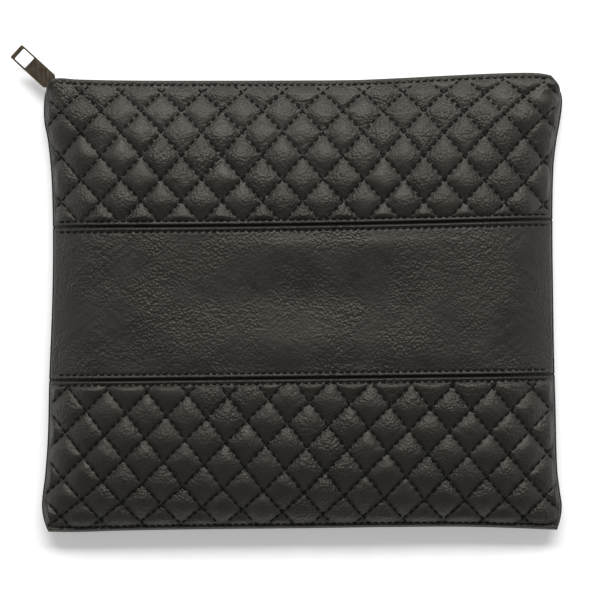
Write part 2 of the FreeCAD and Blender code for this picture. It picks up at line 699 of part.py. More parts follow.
def puller_plate():
    """A metal tab with a window near its free end, and an eye on the link's far bar."""
    low = SEAM_Z - PLATE_THICK / 2
    half = PLATE_WIDTH / 2
    shoulder = LINK_LENGTH + PLATE_NECK
    free_end = shoulder + PLATE_BODY
    side = (
        (LINK_LENGTH, EYE_RADIUS), (shoulder + SHOULDER[0], NECK_SIDE),
        (shoulder + SHOULDER[1], half), (free_end, half),
    )
    outline = [along_pull(d, across, 0) for d, across in side]
    outline += [along_pull(d, -across, 0) for d, across in reversed(side)]
    eye_centre = along_pull(LINK_LENGTH, 0, low)
    eye = Part.makeCylinder(EYE_RADIUS, PLATE_THICK, eye_centre)
    plate = prism(outline, low, PLATE_THICK).fuse(eye).removeSplitter()
    ends = []
    for edge in plate.Edges:
        upright = abs(edge.BoundBox.DiagonalLength - PLATE_THICK) < 10 * NEAR
        if upright and (edge.CenterOfMass - along_pull(free_end, 0, SEAM_Z)).Length < half + 10 * NEAR:
            ends.append(edge)
    plate = plate.makeFillet(PLATE_CORNER, ends)
    rims = []
    for edge in plate.Edges:
        middle = edge.CenterOfMass
        from_eye = math.hypot(middle.x - eye_centre.x, middle.y - eye_centre.y)
        if edge.BoundBox.ZLength < NEAR and from_eye > PLATE_NECK + PLATE_BEVEL:
            rims.append(edge)
    plate = plate.makeChamfer(PLATE_BEVEL, rims)
    plate = plate.cut(Part.makeCylinder(EYE_HOLE, PLATE_THICK, eye_centre))
    far = free_end - END_BAR
    near = far - WINDOW_LENGTH
    wide = WINDOW_WIDTH / 2
    corners = ((near, wide), (far, wide), (far, -wide), (near, -wide))
    window = prism([along_pull(d, across, 0) for d, across in corners], low, PLATE_THICK)
    upright = [e for e in window.Edges if abs(e.BoundBox.ZLength - PLATE_THICK) < NEAR]
    return plate.cut(window.makeFillet(WINDOW_CORNER, upright))


# ---- the pieces ----
for wall_name, wall in (("front", Wall(1)), ("back", Wall(-1))):
    for which in PANELS:
        save(quilted_panel(wall, which), wall_name + "_" + which + "_quilted_panel")
        save(wadding(wall, which), wall_name + "_" + which + "_wadding")
    save(interlining(wall), wall_name + "_interlining")
    save(lining(wall), wall_name + "_lining")
    save(tape(wall), "zip_tape_" + wall_name)
    save(teeth(wall.sign), "zip_teeth_" + wall_name)
    save(top_stop(wall.sign), "zip_top_stop_" + wall_name)

save(centre_band_front(Wall(1)), "front_centre_band")
save(centre_band_back(), "back_centre_band")
save(side_allowance(-1), "side_seam_left")
save(side_allowance(1), "side_seam_right")
save(bottom_allowance(), "bottom_seam")
save(bottom_stop(), "zip_bottom_stop")
save(slider_body(), "slider_body")
save(slider_bail(), "slider_bail")
save(pull_link(), "pull_link")
save(puller_plate(), "puller_plate")
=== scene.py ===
import math

import bmesh
import bpy
import numpy as np
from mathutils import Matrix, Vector


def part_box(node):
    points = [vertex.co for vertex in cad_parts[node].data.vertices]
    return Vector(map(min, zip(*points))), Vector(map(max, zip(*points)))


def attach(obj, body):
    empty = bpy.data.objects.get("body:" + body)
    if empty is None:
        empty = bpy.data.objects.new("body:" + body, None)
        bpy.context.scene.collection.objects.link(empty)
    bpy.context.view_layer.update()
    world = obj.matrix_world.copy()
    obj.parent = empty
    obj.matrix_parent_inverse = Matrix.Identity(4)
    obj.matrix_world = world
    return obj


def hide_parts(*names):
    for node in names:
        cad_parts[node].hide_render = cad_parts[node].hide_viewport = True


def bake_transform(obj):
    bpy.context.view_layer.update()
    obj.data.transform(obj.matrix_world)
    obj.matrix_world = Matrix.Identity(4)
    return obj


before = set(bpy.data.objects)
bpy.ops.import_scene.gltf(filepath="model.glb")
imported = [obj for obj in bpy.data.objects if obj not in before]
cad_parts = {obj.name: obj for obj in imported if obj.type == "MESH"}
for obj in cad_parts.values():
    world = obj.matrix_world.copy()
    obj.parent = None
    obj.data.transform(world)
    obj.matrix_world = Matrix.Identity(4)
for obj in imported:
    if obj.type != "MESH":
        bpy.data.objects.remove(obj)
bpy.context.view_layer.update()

# Shapes are worked out in millimetres, in the frame of the CAD model, and turned to metres as a mesh is made.
MM = 0.001


def box_mm(node):
    low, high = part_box(node)
    return np.array(low) / MM, np.array(high) / MM


# ---- places read from the frame ----
slider_low, slider_high = box_mm("slider_body")
tape_low, tape_high = box_mm("zip_tape_back")
SEAM_Z = (slider_low[2] + slider_high[2]) / 2  # the plane where the walls meet is the zip's middle plane
ZIP_Y = (slider_low[1] + slider_high[1]) / 2

# ---- the outline, as in the CAD: half-widths at heights y, and edge heights at places x ----
HALF_WIDTH = 120.0  # a round figure for the half-widths below
LEFT_HALF_WIDTH = (
    (-112, 120.5), (-106, 123.4), (-97.5, 124.8), (-83, 123.3), (-65, 122.0), (-37, 121.3), (0, 119.9),
    (30, 119.5), (60, 120.2), (78, 121.9), (87, 123.6), (96, 123.8), (102, 122.9), (106, 120.8), (111, 116.5),
)
RIGHT_HALF_WIDTH = (
    (-112, 121.0), (-106, 123.6), (-98, 124.8), (-90, 123.8), (-80, 122.6), (-50, 121.8), (-25, 121.1),
    (0, 120.7), (40, 120.3), (65, 120.8), (78, 122.2), (88, 124.0), (97, 125.0), (102, 124.2), (106, 122.0),
    (111, 117.5),
)
TOP_EDGE = (
    (-125, 105.0), (-117, 107.8), (-108, 107.3), (-85, 106.8), (-50, 106.7), (0, 106.8), (25, 107.0),
    (45, 107.8), (70, 109.1), (95, 110.2), (112, 110.4), (121, 109.0), (125, 107.0),
)
BOTTOM_EDGE = (
    (-125, -110.0), (-108, -110.2), (-85, -109.5), (-50, -108.9), (0, -108.4), (45, -107.8), (80, -107.7),
    (108, -108.5), (125, -109.2),
)

# ---- the walls, as in the CAD ----
EDGE_RISE = 1.4  # a wall's edge stands this far from the middle plane along the sewn sides
CORNER_RISE = 6.2  # and this far at the corners of the mouth
SEWN_TOP = 99.0  # the sides are sewn up to here
OPEN_FROM = 105.5  # and fully apart from here
BOTTOM_CORNER = (-109.0, -104.0)  # the front's sides draw in over this stretch
HALF_LENGTH_UP = 107.0  # lengths that the heights along the middle are given for
HALF_LENGTH_DOWN = 109.0
FRONT_CROWN = (  # height of the front's middle over the middle plane, from the hem to the mouth
    (-109, 1.4), (-107.3, 3.6), (-104.5, 6.4), (-100, 9.5), (-94, 12.2), (-85, 14.8), (-73, 16.7),
    (-58, 17.7), (-36, 18.3), (0, 18.8), (38, 18.6), (52, 18.2), (64, 17.3), (76, 15.6), (88, 12.7),
    (98, 9.6), (107, 6.6),
)
BACK_FLAT_SHARE = 0.78  # the back is flat underneath to this share of its half-width
BACK_FLAT_DOWN = 84.0  # and to these distances down and up
BACK_FLAT_UP = 70.0
BACK_MOUTH_Z = 0.9  # its mouth edge lies this high
SIDE_DOME = 0.15  # share of the height that is lost in a slow dome, before the side turns down
SIDE_POWER = (9.0, 22.0)  # how sharply a side turns down: below the zip's ends, and beside them
BACK_SIDE_POWER = (4.0, 8.0)
BACK_END_POWER = 4.0
ZIP_END_ZONE = (78.0, 94.0)
LEATHER = 1.2
LAYER_GAP = 0.2
INTERLINING = 0.4
LINING = 0.4
LINING_GAP = 0.35
LINING_INSET = 7.0
LINING_SIDE_RISE = (0.8, 4.0)
LINING_ZIP_ZONE = (84.0, 92.0)
INTERLINING_INSET = 7.5
WADDING_AT_STITCH = 0.8
PAD_END = (89.0, 96.0)
BACK_PUFF = 2.0
BACK_BORDER_FADE = 14.0  # the back's puffs fade out over this width at its sides and hem
BACK_MOUTH_FADE = 24.0  # and over this width at its mouth

# ---- seams and quilting ----
UPPER_SEAM = (37.2, 0.0155)  # height y in the middle, and slope
UPPER_SEAM_BOW = 1.05  # its ends lie this much higher
LOWER_SEAM = (-35.7, 0.012)
PANEL_GAP = 0.9
QUILT_PITCH = 19.3
QUILT_LINE = 14.6  # from one crossing to the next along a stitch line
QUILT_REACH = 7.26  # from a stitch line to the middle of a diamond
# Heights y of the rows of crossings, each with its number.
UPPER_ROWS = ((38.0, -1), (48.5, 0), (59.0, 1), (70.1, 2), (81.4, 3), (91.7, 4), (100.8, 5), (109.0, 6))
UPPER_QUILT_X = 0.7
LOWER_ROWS = (  # measured from LOWER_QUILT_ORIGIN
    (-80.3, 8), (-71.4, 7), (-62.5, 6), (-53.6, 5), (-44.0, 4), (-33.0, 3), (-21.9, 2), (-10.9, 1), (0, 0),
    (11, -1), (22, -2),
)
LOWER_QUILT_ORIGIN = (3.9, -47.0)
LOWER_QUILT_TURN = -3.4  # in degrees
PINCH_FROM = 40.0  # to the right of this the rows draw together, the more the further out
UPPER_PINCH = 4.5e-6
LOWER_PINCH = 9.0e-6
FRONT_PUFF = 2.5
MOUTH_PUFF = 0.62  # share of the puff that is left near the mouth
MOUTH_PUFF_ZONE = (66.0, 98.0)
PUFF_POWER = 2.3  # how fast a diamond rises from its stitch lines
PUFF_CROWN = 0.9  # under 1, so that the puffs are full
STITCH_PULL = 0.26  # each stitch pulls the leather in this deep
STITCH_PULL_REACH = 1.0
SLACK_FOLD = 0.16  # height of the small folds beside the stitch lines
QUILT_STITCH = 3.8  # pitch of the quilting's stitches
TOP_STITCH = 3.35  # pitch of the topstitching
SEAM_TOPSTITCH = (2.1, 0.3)  # distance from the rolled edge, and how deep the row is pulled in
MOUTH_TOPSTITCH = (2.3, 0.28)
HEM_TOPSTITCH = (2.5, 0.5)
TOPSTITCH_GROOVE = 0.75  # half-width of the groove
SEAM_RIDGE = (0.55, 1.0, 1.1, 0.5)  # height, place, and reach towards the gap and away from it
HEM_RIDGE = (0.9, 1.2, 0.5)  # height, place and reach
MOUTH_RIDGE = (0.2, 1.0, 0.7)
SEAM_ROLL = 0.5  # radii of the turned-in edges
MOUTH_ROLL = 1.1
SIDE_ROLL = 1.0
HEM_ROLL = 1.0
BAND_DENTS = (  # the smooth band's broad hills and hollows: height, centre and reach
    (0.9, (8, -21), (62, 9)),
    (-1.0, (4, 4), (60, 10)),
    (0.7, (10, 27), (60, 8)),
)
MIDDLE_CLEAR = 0.12  # the leather keeps at least this clear of the plane where the walls meet
RIGHT_EXTRA = 0.8  # the leather on the right stands this far out from the CAD's plain solid
FRONT_INSET = 0.8  # the front's sewn sides lie this far inside the back's, which show as a thin rim

# ---- fineness of the meshes ----
FRONT_STEP = 0.58
BACK_STEP = 0.85
EDGE_STEP = 0.3
LATTICE = 97


# ==== curves and noise ====
def through(stations, at):
    """A smooth curve through given stations (Catmull-Rom), flat outside them."""
    table = np.array(stations, float)
    place, value = table[:, 0], table[:, 1]
    at = np.clip(at, place[0], place[-1])
    i = np.clip(np.searchsorted(place, at, side="right") - 1, 0, len(place) - 2)
    before = np.maximum(i - 1, 0)
    after = np.minimum(i + 2, len(place) - 1)
    span = place[i + 1] - place[i]
    slope_a = (value[i + 1] - value[before]) / (place[i + 1] - place[before])
    slope_b = (value[after] - value[i]) / (place[after] - place[i])
    t = (at - place[i]) / span
    return (
        (2 * t**3 - 3 * t**2 + 1) * value[i]
        + (t**3 - 2 * t**2 + t) * span * slope_a
        + (3 * t**2 - 2 * t**3) * value[i + 1]
        + (t**3 - t**2) * span * slope_b
    )


def smoothstep(low, high, at):
    t = np.clip((at - low) / (high - low), 0.0, 1.0)
    return t * t * (3 - 2 * t)


def lerp(a, b, t):
    return a + (b - a) * t


def noise(x, y, size, seed):
    """Smooth noise between about -1 and 1, with features as large as size."""
    lattice = np.random.default_rng(seed).uniform(-1, 1, (LATTICE, LATTICE))
    gx = x / size + 40.0
    gy = y / size + 40.0
    ix = np.floor(gx).astype(int)
    iy = np.floor(gy).astype(int)
    tx = smoothstep(0, 1, gx - ix)
    ty = smoothstep(0, 1, gy - iy)
    columns = ix % LATTICE, (ix + 1) % LATTICE
    rows = iy % LATTICE, (iy + 1) % LATTICE
    near = lerp(lattice[columns[0], rows[0]], lattice[columns[1], rows[0]], tx)
    far = lerp(lattice[columns[0], rows[1]], lattice[columns[1], rows[1]], tx)
    return lerp(near, far, ty)


def turned(x, y, degrees):
    a = math.radians(degrees)
    return x * math.cos(a) + y * math.sin(a), y * math.cos(a) - x * math.sin(a)


def creases(x, y, length, width, degrees, seed):
    """Noise drawn out along one direction, as fine folds in leather are."""
    along, across = turned(x, y, degrees)
    return noise(along * width / length, across, width, seed)


def bump_at(x, y, centre, reach, degrees=0.0):
    """A soft round hill, 1 high, with different reaches along and across."""
    along, across = turned(x - centre[0], y - centre[1], degrees)
    return np.exp(-((along / reach[0]) ** 2) - (across / reach[1]) ** 2)


# ==== outline and heights ====
def half_width(side, y):
    if side < 0:
        return through(LEFT_HALF_WIDTH, y)
    return through(RIGHT_HALF_WIDTH, y) + RIGHT_EXTRA


def half_width_at(x, y):
    return np.where(x < 0, half_width(-1, y), half_width(1, y))


def top_edge(x):
    return through(TOP_EDGE, x)


def bottom_edge(x):
    return through(BOTTOM_EDGE, x)


def upper_seam(x):
    return UPPER_SEAM[0] + UPPER_SEAM[1] * x + UPPER_SEAM_BOW * (x / HALF_WIDTH) ** 2


def lower_seam(x):
    return LOWER_SEAM[0] + LOWER_SEAM[1] * x


def beside(edge, distance):
    """The curve that lies a distance above an edge or a seam."""
    return lambda x: edge(x) + distance


def length_share(x, y):
    """y, stretched so that the hem and the mouth come at the same value at every x."""
    return np.where(y < 0, y * HALF_LENGTH_DOWN / -bottom_edge(x), y * HALF_LENGTH_UP / top_edge(x))


def zip_end_share(y):
    return smoothstep(*ZIP_END_ZONE, y)


def side_profile(u, y=0.0):
    """Share of a wall's height at the share u of its half-width."""
    u = np.clip(np.abs(u), 0.0, 1.0)
    return 1 - SIDE_DOME * u**2 - (1 - SIDE_DOME) * u ** lerp(*SIDE_POWER, zip_end_share(y))


def sewn_share(y):
    """1 along the sewn sides, and 0 at the mouth and at the bottom corners."""
    return smoothstep(OPEN_FROM, SEWN_TOP, y) * smoothstep(*BOTTOM_CORNER, y)


def edge_rise(y):
    return lerp(EDGE_RISE, CORNER_RISE, smoothstep(SEWN_TOP, OPEN_FROM, y))


def roll(distance, radius):
    """1 at an edge and 0 from radius inwards, round as a folded edge is."""
    q = 1 - np.clip(distance / radius, 0.0, 1.0)
    return 1 - np.sqrt(1 - q**2 * 0.999)


def ridge(distance, height, place, reach):
    """A rounded ridge along an edge, at a place that is measured from it."""
    return height * np.exp(-(((distance - place) / reach) ** 2))


def pinch(x, upper):
    """How much closer together the rows of crossings lie at x than in the middle."""
    return 1 + np.where(upper, UPPER_PINCH, LOWER_PINCH) * np.maximum(x - PINCH_FROM, 0.0) ** 2


def quilt_place(x, y):
    """The two families of stitch lines: each has one line at every whole number."""
    y = y * pinch(x, y > 0)
    upper = y > 0
    dx, dy = turned(x - LOWER_QUILT_ORIGIN[0], y - LOWER_QUILT_ORIGIN[1], LOWER_QUILT_TURN)
    along = np.where(upper, x - UPPER_QUILT_X, dx) / QUILT_PITCH
    row = np.where(upper, through(UPPER_ROWS, y), through(LOWER_ROWS, dy))
    return along + row / 2, along - row / 2


def quilt_point(a, b, upper):
    """The place (x, y) where lines a and b of a panel's quilting cross."""
    along = (a + b) / 2 * QUILT_PITCH
    row = a - b
    if upper:
        x = along + UPPER_QUILT_X
        y = through([(r, y) for y, r in UPPER_ROWS], row)
    else:
        height = through([(r, y) for y, r in reversed(LOWER_ROWS)], row)
        dx, dy = turned(along, height, -LOWER_QUILT_TURN)
        x = LOWER_QUILT_ORIGIN[0] + dx
        y = LOWER_QUILT_ORIGIN[1] + dy
    return x, y / pinch(x, upper)


class Wall:
    """One wall's faces. sign is 1 for the front, whose outside is up, and -1 for the back."""

    def __init__(self, name, sign, inset, puff, step):
        self.name = name
        self.sign = sign
        self.inset = inset
        self.puff = puff
        self.step = step

    def side(self, x, y):
        """Distance in from this wall's sides."""
        return half_width_at(x, y) - self.inset * sewn_share(y) - np.abs(x)

    def smooth(self, x, y):
        """The wall's outside without quilting, seams or folds."""
        rise = edge_rise(y)
        share = length_share(x, y)
        u = 1 - self.side(x, y) / half_width_at(x, y)
        if self.sign > 0:
            crown = through(FRONT_CROWN, share)
            return SEAM_Z + rise + (crown - rise) * side_profile(u, y)
        power = lerp(*BACK_SIDE_POWER, zip_end_share(y))
        across = np.clip((u - BACK_FLAT_SHARE) / (1 - BACK_FLAT_SHARE), 0.0, 1.0) ** power
        down = np.clip((-share - BACK_FLAT_DOWN) / (HALF_LENGTH_DOWN - BACK_FLAT_DOWN), 0.0, 1.0)
        along = down**BACK_END_POWER
        up = np.clip((share - BACK_FLAT_UP) / (HALF_LENGTH_UP - BACK_FLAT_UP), 0.0, 1.0)
        mouth = BACK_MOUTH_Z * up**2
        height = SEAM_Z - rise
        return np.maximum(height * (1 - (1 - across) * (1 - along)), mouth * (1 - across) + height * across)

    def seam_distance(self, x, y):
        """Distance from the rolled edge of the nearer panel seam."""
        return np.minimum(np.abs(y - upper_seam(x)), np.abs(y - lower_seam(x))) - PANEL_GAP / 2

    def in_band(self, x, y):
        return (y > lower_seam(x)) & (y < upper_seam(x))

    def quilt_fade(self, x, y):
        """0 on a quilted panel's border and 1 inside it."""
        front = self.sign > 0
        fade = smoothstep(1.0, 4.4, self.seam_distance(x, y))
        fade = fade * smoothstep(0.0, 2.8 if front else BACK_BORDER_FADE, self.side(x, y))
        fade = fade * smoothstep(0.0, 6.0 if front else BACK_BORDER_FADE, y - bottom_edge(x))
        fade = fade * smoothstep(1.0, 8.0 if front else BACK_MOUTH_FADE, top_edge(x) - y)
        return np.where(self.in_band(x, y), 0.0, fade)

    def quilting(self, x, y):
        """Height of the quilting over its stitch lines: puffed diamonds, pulled in at each stitch."""
        a, b = quilt_place(self.sign * x, y)
        height = 1.0
        pulled = 0.0
        for line, run in ((a, b), (b, a)):
            near = np.abs(line - np.round(line)) * 2
            height = height * (1 - (1 - near) ** PUFF_POWER)
            stitch = 0.5 - 0.5 * np.cos(2 * math.pi * run * QUILT_LINE / QUILT_STITCH)
            pulled = pulled - stitch * np.exp(-((near * QUILT_REACH / STITCH_PULL_REACH) ** 2))
        uneven = 1 + 0.12 * noise(x, y, 17.0, 11) + 0.08 * noise(x, y, 6.0, 12)
        folds = creases(x, y, 9.0, 2.2, 35, 13) + creases(x, y, 9.0, 2.4, -40, 14)
        nearest = np.minimum(np.abs(a - np.round(a)), np.abs(b - np.round(b))) * 2
        slack = ridge(nearest, SLACK_FOLD, 0.3, 0.3)
        soft = lerp(1.0, MOUTH_PUFF, smoothstep(*MOUTH_PUFF_ZONE, y))
        return self.puff * height**PUFF_CROWN * uneven * soft + STITCH_PULL * pulled + folds * slack

    def topstitch_rows(self, x):
        """Heights y of the topstitched rows at x, with the depth that each one pulls."""
        rows = [
            (top_edge(x) - MOUTH_TOPSTITCH[0], MOUTH_TOPSTITCH[1]),
            (bottom_edge(x) + HEM_TOPSTITCH[0], HEM_TOPSTITCH[1]),
        ]
        for seam in (upper_seam, lower_seam):
            for side in (-1, 1):
                rows.append((seam(x) + side * (PANEL_GAP / 2 + SEAM_TOPSTITCH[0]), SEAM_TOPSTITCH[1]))
        return rows

    def sewing(self, x, y):
        """Ridges and grooves of the rolled edges and topstitched rows, outwards from the wall."""
        seam = self.seam_distance(x, y)
        rise, place, inwards, outwards = SEAM_RIDGE
        height = ridge(seam, rise, place, np.where(seam < place, inwards, outwards))
        for row, depth in self.topstitch_rows(x):
            stitch = 0.65 + 0.35 * np.cos(2 * math.pi * x / TOP_STITCH)
            height = height - ridge(y, depth * stitch, row, TOPSTITCH_GROOVE)
        height = height + ridge(y - bottom_edge(x), *HEM_RIDGE)
        return height + ridge(top_edge(x) - y, *MOUTH_RIDGE)

    def folds(self, x, y):
        """The soft dents and fine folds of the smooth band, and of the leather as a whole."""
        band = smoothstep(2.0, 9.0, self.seam_distance(x, y)) * self.in_band(x, y)
        big = 0.0
        if self.sign > 0:
            big = 0.35 * noise(x, y, 26.0, 21)
            for height, centre, reach in BAND_DENTS:
                big = big + height * bump_at(x, y, centre, reach)
        fine = 0.10 * creases(x, y, 14.0, 1.8, 38, 22) + 0.08 * creases(x, y, 12.0, 2.0, -32, 23)
        fine = fine * (0.35 + 0.65 * smoothstep(55, 105, np.abs(x + 6 * noise(x, y, 20, 24))))
        everywhere = 0.05 * noise(x, y, 2.6, 25) + 0.12 * noise(x, y, 9.0, 26)
        return (big + fine) * band + everywhere

    def border_roll(self, x, y):
        """How far the leather turns in at its edges."""
        seam = roll(self.seam_distance(x, y), SEAM_ROLL)
        mouth = roll(top_edge(x) - y, MOUTH_ROLL)
        side = roll(self.side(x, y), SIDE_ROLL)
        hem = roll(y - bottom_edge(x), HEM_ROLL)
        return np.maximum(np.maximum(seam, mouth), np.maximum(side, hem))

    def stitched(self, x, y):
        """The leather's outside along the stitch lines."""
        lift = 0.0
        if self.sign < 0:
            lift = BACK_PUFF * self.quilt_fade(x, y)
        return self.smooth(x, y) + lift

    def outer(self, x, y):
        """The leather's outside. The back's puffs are cut off where they would press into the table."""
        fade = self.quilt_fade(x, y)
        detail = self.quilting(x, y) * fade + self.sewing(x, y) + self.folds(x, y)
        if self.sign < 0:
            detail = np.minimum(detail, BACK_PUFF * fade + 0.25)
        calm = smoothstep(0.0, 2.0, self.side(x, y)) * smoothstep(0.0, 1.0, y - bottom_edge(x))
        height = self.stitched(x, y) + self.sign * (detail * calm - (LEATHER - 0.2) * self.border_roll(x, y))
        limit = SEAM_Z + self.sign * MIDDLE_CLEAR
        if self.sign > 0:
            return np.maximum(height, limit + 0.05)
        return np.clip(height, 0.0, limit - 1.2)

    def back_of_leather(self, x, y):
        """The leather's inside, which follows the puffs a little less than its outside does."""
        puff = self.quilting(x, y) * self.quilt_fade(x, y) * 0.9
        height = self.stitched(x, y) + self.sign * (puff - LEATHER)
        if self.sign > 0:
            return np.maximum(np.minimum(height, self.outer(x, y) - 0.05), SEAM_Z + 0.1)
        rim = np.minimum(self.side(x, y), y - bottom_edge(x))
        return np.maximum(np.minimum(height, SEAM_Z - 0.1) - roll(rim, 0.9), self.outer(x, y) + 0.05)

    def pad_depth(self, y):
        """Room for the wadding where it is stitched down. It ends below the mouth."""
        return lerp(WADDING_AT_STITCH, 0.0, smoothstep(*PAD_END, y)) + LAYER_GAP

    def border_fade(self, x, y):
        """0 on the back wall's border and 1 inside it."""
        fade = smoothstep(0.0, BACK_MOUTH_FADE, top_edge(x) - y)
        fade = fade * smoothstep(0.0, BACK_BORDER_FADE, self.side(x, y))
        return fade * smoothstep(0.0, BACK_BORDER_FADE, y - bottom_edge(x))

    def inner(self, x, y):
        """Where the interlining's outer face lies."""
        lift = 0.0
        if self.sign < 0:
            lift = BACK_PUFF * self.border_fade(x, y)
        return self.smooth(x, y) + lift - self.sign * (LEATHER + self.pad_depth(y) + 0.1)

    def lining(self, x, y):
        """The lining's face. It runs from its sewn edge out to the interlining."""
        deep = self.inner(x, y) - self.sign * (INTERLINING + LINING_GAP)
        start = SEAM_Z + self.sign * lerp(*LINING_SIDE_RISE, smoothstep(*LINING_ZIP_ZONE, y))
        u = np.abs(x) / (half_width_at(x, y) - LINING_INSET)
        down = -np.minimum(y, 0.0) / (-bottom_edge(x) - LINING_INSET)
        return start + (deep - start) * side_profile(u) * side_profile(down)


WALLS = (
    Wall("front", 1, FRONT_INSET, FRONT_PUFF, FRONT_STEP),
    Wall("back", -1, 0.0, BACK_PUFF, BACK_STEP),
)


# ==== mesh making ====
def spaced(length, step, edge_zone=2.6):
    """Shares from 0 to 1 of a length, closer together in the zone at each end."""
    edge = np.arange(0.0, edge_zone, EDGE_STEP)
    middle = np.linspace(edge_zone, length - edge_zone, max(int((length - 2 * edge_zone) / step), 2) + 1)
    return np.concatenate([edge, middle, length - edge[::-1]]) / length


def grid(low, high, shares_x, shares_y, side_inset=0.0, wall=None):
    """Places (x, y) over the outline between two curves low(x) and high(x)."""
    s, t = np.meshgrid(shares_x, shares_y, indexing="ij")
    x = lerp(-HALF_WIDTH, HALF_WIDTH, s)
    for _ in range(6):  # x and y depend on each other, and settle in a few rounds
        y = lerp(low(x), high(x), t)
        inset = side_inset
        if wall is not None:
            inset = side_inset + wall.inset * sewn_share(y)
        x = lerp(-(half_width(-1, y) - inset), half_width(1, y) - inset, s)
    return x, y


def grid_normals(points, sign):
    """Unit normals of a grid of points, so that pieces that meet are shaded alike."""
    across = np.gradient(points, axis=0)
    along = np.gradient(points, axis=1)
    normal = np.cross(across, along) * sign
    return normal / np.maximum(np.linalg.norm(normal, axis=2, keepdims=True), 1e-9)


def placed(name, data):
    """A new object in the scene with a mesh, a light or a camera."""
    piece = bpy.data.objects.new(name, data)
    bpy.context.scene.collection.objects.link(piece)
    return piece


def new_mesh(name, vertices, quads, material, normals=None):
    """A mesh object from vertices in millimetres and faces of four corners."""
    mesh = bpy.data.meshes.new(name)
    vertices = np.asarray(vertices, np.float32) * MM
    quads = np.asarray(quads, np.int32)
    mesh.vertices.add(len(vertices))
    mesh.vertices.foreach_set("co", vertices.ravel())
    mesh.loops.add(quads.size)
    mesh.loops.foreach_set("vertex_index", quads.ravel())
    mesh.polygons.add(len(quads))
    mesh.polygons.foreach_set("loop_start", np.arange(0, quads.size, 4, dtype=np.int32))
    mesh.update(calc_edges=True)
    mesh.validate()
    mesh.shade_smooth()
    if normals is not None:
        mesh.normals_split_custom_set_from_vertices(np.asarray(normals, np.float32))
    mesh.materials.append(material)
    return placed(name, mesh)


def closed_sheet(name, outer, inner, sign, material, columns=None):
    """A closed mesh between two grids of points or some columns of them, shaded as the whole grid is."""
    outer_normals = grid_normals(outer, sign)
    inner_normals = -grid_normals(inner, sign)
    if columns is not None:
        outer, inner = outer[columns], inner[columns]
        outer_normals, inner_normals = outer_normals[columns], inner_normals[columns]
    n, m = outer.shape[:2]
    index = np.arange(n * m).reshape(n, m)
    low = index + n * m
    a, b, c, d = index[:-1, :-1], index[1:, :-1], index[1:, 1:], index[:-1, 1:]
    top = np.stack([a, b, c, d], -1).reshape(-1, 4)
    under = (np.stack([a, d, c, b], -1) + n * m).reshape(-1, 4)
    left = np.stack([index[0, :-1], index[0, 1:], low[0, 1:], low[0, :-1]], -1)
    right = np.stack([index[-1, :-1], low[-1, :-1], low[-1, 1:], index[-1, 1:]], -1)
    near = np.stack([index[:-1, 0], low[:-1, 0], low[1:, 0], index[1:, 0]], -1)
    far = np.stack([index[:-1, -1], index[1:, -1], low[1:, -1], low[:-1, -1]], -1)
    quads = np.concatenate([top, under, left, right, near, far])
    if sign < 0:
        quads = quads[:, ::-1]
    vertices = np.concatenate([outer.reshape(-1, 3), inner.reshape(-1, 3)])
    normals = np.concatenate([outer_normals.reshape(-1, 3), inner_normals.reshape(-1, 3)])
    return new_mesh(name, vertices, quads, material, normals)


def lift_with_front(piece, side):
    """Bakes the piece's placement into its mesh."""
    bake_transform(piece)


def settle(piece, node, declare):
    """Hides the CAD node that a piece stands for, and hands the piece to declare."""
    if node is not None:
        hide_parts(node)
    if declare is not None:
        declare(piece)


def wall_piece(wall, name, outer, inner, material, node=None, declare=None):
    """A sheet of a wall. A front one is two halves, which meet at the middle column of the grid."""
    if wall.sign < 0:
        piece = closed_sheet(name, outer, inner, -1, material)
        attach(piece, "back_wall")
        settle(piece, node, declare)
        return
    middle = outer.shape[0] // 2
    for side, word, columns in ((-1, "left", slice(0, middle + 1)), (1, "right", slice(middle, None))):
        piece = closed_sheet(name + "_" + word, outer, inner, 1, material, columns)
        lift_with_front(piece, side)
        settle(piece, node, declare)


def points_on(height, x, y):
    return np.stack([x, y, height(x, y)], -1)


